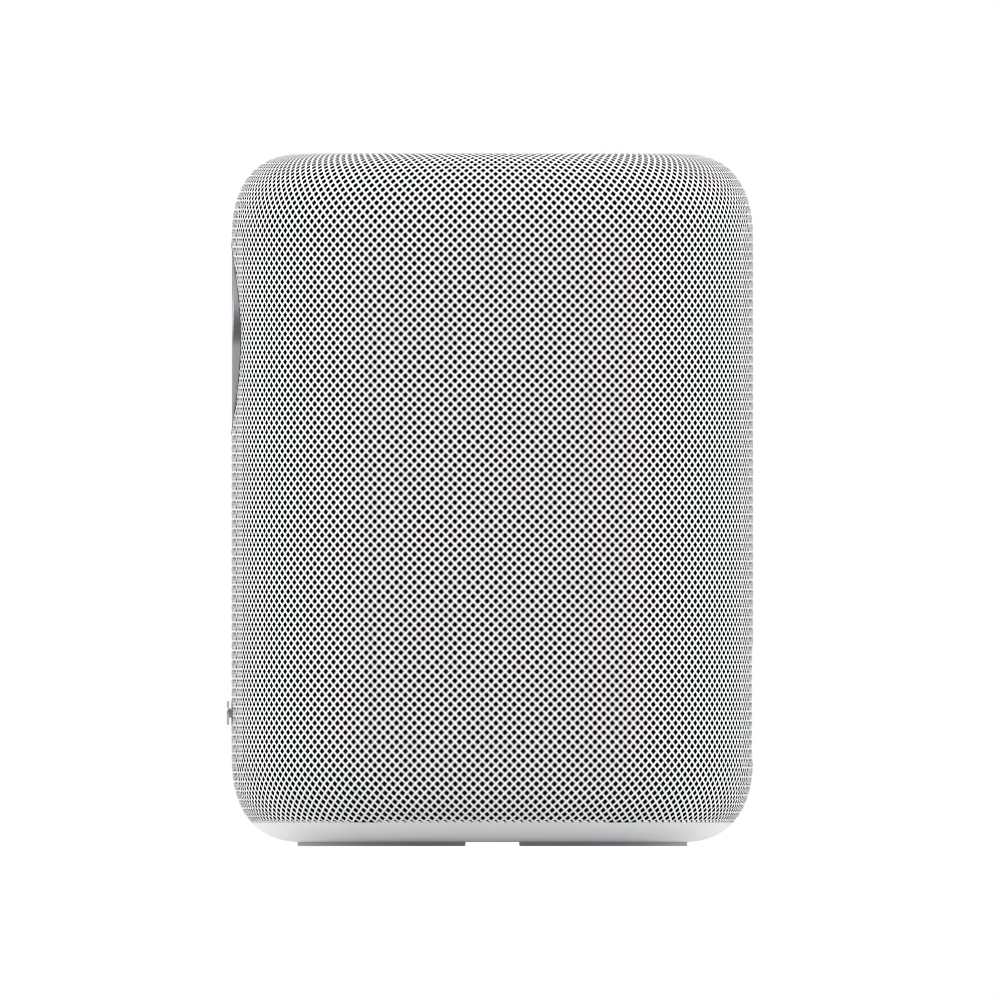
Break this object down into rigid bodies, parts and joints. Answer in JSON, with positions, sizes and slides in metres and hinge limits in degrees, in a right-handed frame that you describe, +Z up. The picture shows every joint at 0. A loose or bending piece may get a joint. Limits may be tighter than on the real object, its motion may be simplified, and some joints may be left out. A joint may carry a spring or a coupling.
{
  "type": "smart speaker",
  "caption": "Upright smart speaker with a squircle plan, woven sleeve with round corners, round front display, flush base, two half-ring feet and a recessed rear socket bay.",
  "frame": {"origin": "on the body's vertical axis, in the plane that the foot pads stand on", "axes": "+Z up; -Y is the front, where the display faces; +X is to the right of a person who faces the display"},
  "size_m": [0.146, 0.1473, 0.1938],
  "materials": {
    "white_fabric": "matte open weave",
    "black_frame": "moulded, fine texture",
    "white_plastic": "satin moulded",
    "foot_rubber": "matte",
    "ring_metal": "satin, fine turned",
    "seal_rubber": "matte",
    "cover_glass": "polished",
    "display_matrix": "polished",
    "dark_plastic": "moulded",
    "badge_metal": "brushed",
    "connector_plastic": "moulded",
    "contact_metal": "plated",
    "shield_steel": "tinned",
    "key_plastic": "satin moulded",
    "circuit_board": "solder mask",
    "power_laminate": "phenolic laminate",
    "basket_paint": "powder coat",
    "surround_rubber": "satin",
    "cone_pulp": "coated fibre",
    "dome_silk": "doped silk",
    "spider_cloth": "resin cloth",
    "copper_winding": "enamelled wire",
    "ferrite": "sintered",
    "zinc_steel": "zinc plated",
    "neodymium": "nickel plated",
    "foam": "closed-cell foam",
    "fin_aluminium": "extruded",
    "transformer_tape": "tape over winding",
    "capacitor_sleeve": "shrink sleeve",
    "flex_film": "polyimide",
    "wire_insulation": "insulation"
  },
  "bodies": {
    "chassis": {"fabric_sleeve": "white_fabric", "grille_frame": "black_frame", "base_cap": "white_plastic", "front_foot_pad": "foot_rubber", "rear_foot_pad": "foot_rubber", "top_panel": "white_plastic", "display_bezel": "ring_metal", "bezel_trim_ring": "seal_rubber", "display_glass": "cover_glass", "display_panel": "display_matrix", "display_housing": "dark_plastic", "display_screws": "zinc_steel", "badge_plate": "badge_metal", "badge_spacer": "white_plastic", "rear_panel": "white_plastic", "rear_trim": "white_plastic", "mains_inlet": "connector_plastic", "inlet_pins": "contact_metal", "line_in_socket": "connector_plastic", "port_board": "circuit_board", "woofer_frame": "basket_paint", "woofer_surround": "surround_rubber", "woofer_spider": "spider_cloth", "woofer_top_plate": "zinc_steel", "woofer_magnet": "ferrite", "woofer_yoke": "zinc_steel", "woofer_gasket": "foam", "woofer_screws": "zinc_steel", "left_tweeter_faceplate": "dark_plastic", "right_tweeter_faceplate": "dark_plastic", "left_tweeter_cup": "zinc_steel", "right_tweeter_cup": "zinc_steel", "left_tweeter_magnet": "neodymium", "right_tweeter_magnet": "neodymium", "tweeter_screws": "zinc_steel", "cabinet_front": "dark_plastic", "cabinet_rear": "dark_plastic", "cabinet_seal": "foam", "cabinet_screws": "zinc_steel", "base_chassis": "dark_plastic", "base_screws": "zinc_steel", "upper_chassis": "dark_plastic", "main_board": "circuit_board", "board_shields": "shield_steel", "heat_sink": "fin_aluminium", "power_board": "power_laminate", "power_transformer": "transformer_tape", "power_capacitors": "capacitor_sleeve", "touch_board": "circuit_board", "microphones": "contact_metal", "antennas": "circuit_board", "display_ribbon": "flex_film", "speaker_wires": "wire_insulation"},
    "woofer_moving": {"woofer_cone": "cone_pulp", "woofer_dust_cap": "cone_pulp", "woofer_voice_coil": "copper_winding"},
    "left_tweeter_moving": {"left_tweeter_dome": "dome_silk"},
    "right_tweeter_moving": {"right_tweeter_dome": "dome_silk"},
    "rear_button_cap": {"rear_button": "key_plastic"},
    "mic_switch_knob": {"mic_switch": "key_plastic"}
  },
  "joints": [
    {"name": "woofer_stroke", "type": "slide", "parent": "chassis", "child": "woofer_moving", "axis": [0, -1, 0], "range_m": [-0.004, 0.004], "stiffness_N_per_m": 1000, "deforming": ["woofer_surround", "woofer_spider"]},
    {"name": "left_tweeter_stroke", "type": "slide", "parent": "chassis", "child": "left_tweeter_moving", "axis": [-0.9063, -0.4226, 0], "range_m": [-0.0003, 0.0003], "stiffness_N_per_m": 40},
    {"name": "right_tweeter_stroke", "type": "slide", "parent": "chassis", "child": "right_tweeter_moving", "axis": [0.9063, -0.4226, 0], "range_m": [-0.0003, 0.0003], "stiffness_N_per_m": 40},
    {"name": "rear_button_press", "type": "slide", "parent": "chassis", "child": "rear_button_cap", "axis": [0, -1, 0], "range_m": [0, 0.0008], "stiffness_N_per_m": 400},
    {"name": "mic_switch_slide", "type": "slide", "parent": "chassis", "child": "mic_switch_knob", "axis": [1, 0, 0], "range_m": [0, 0.002]}
  ]
}
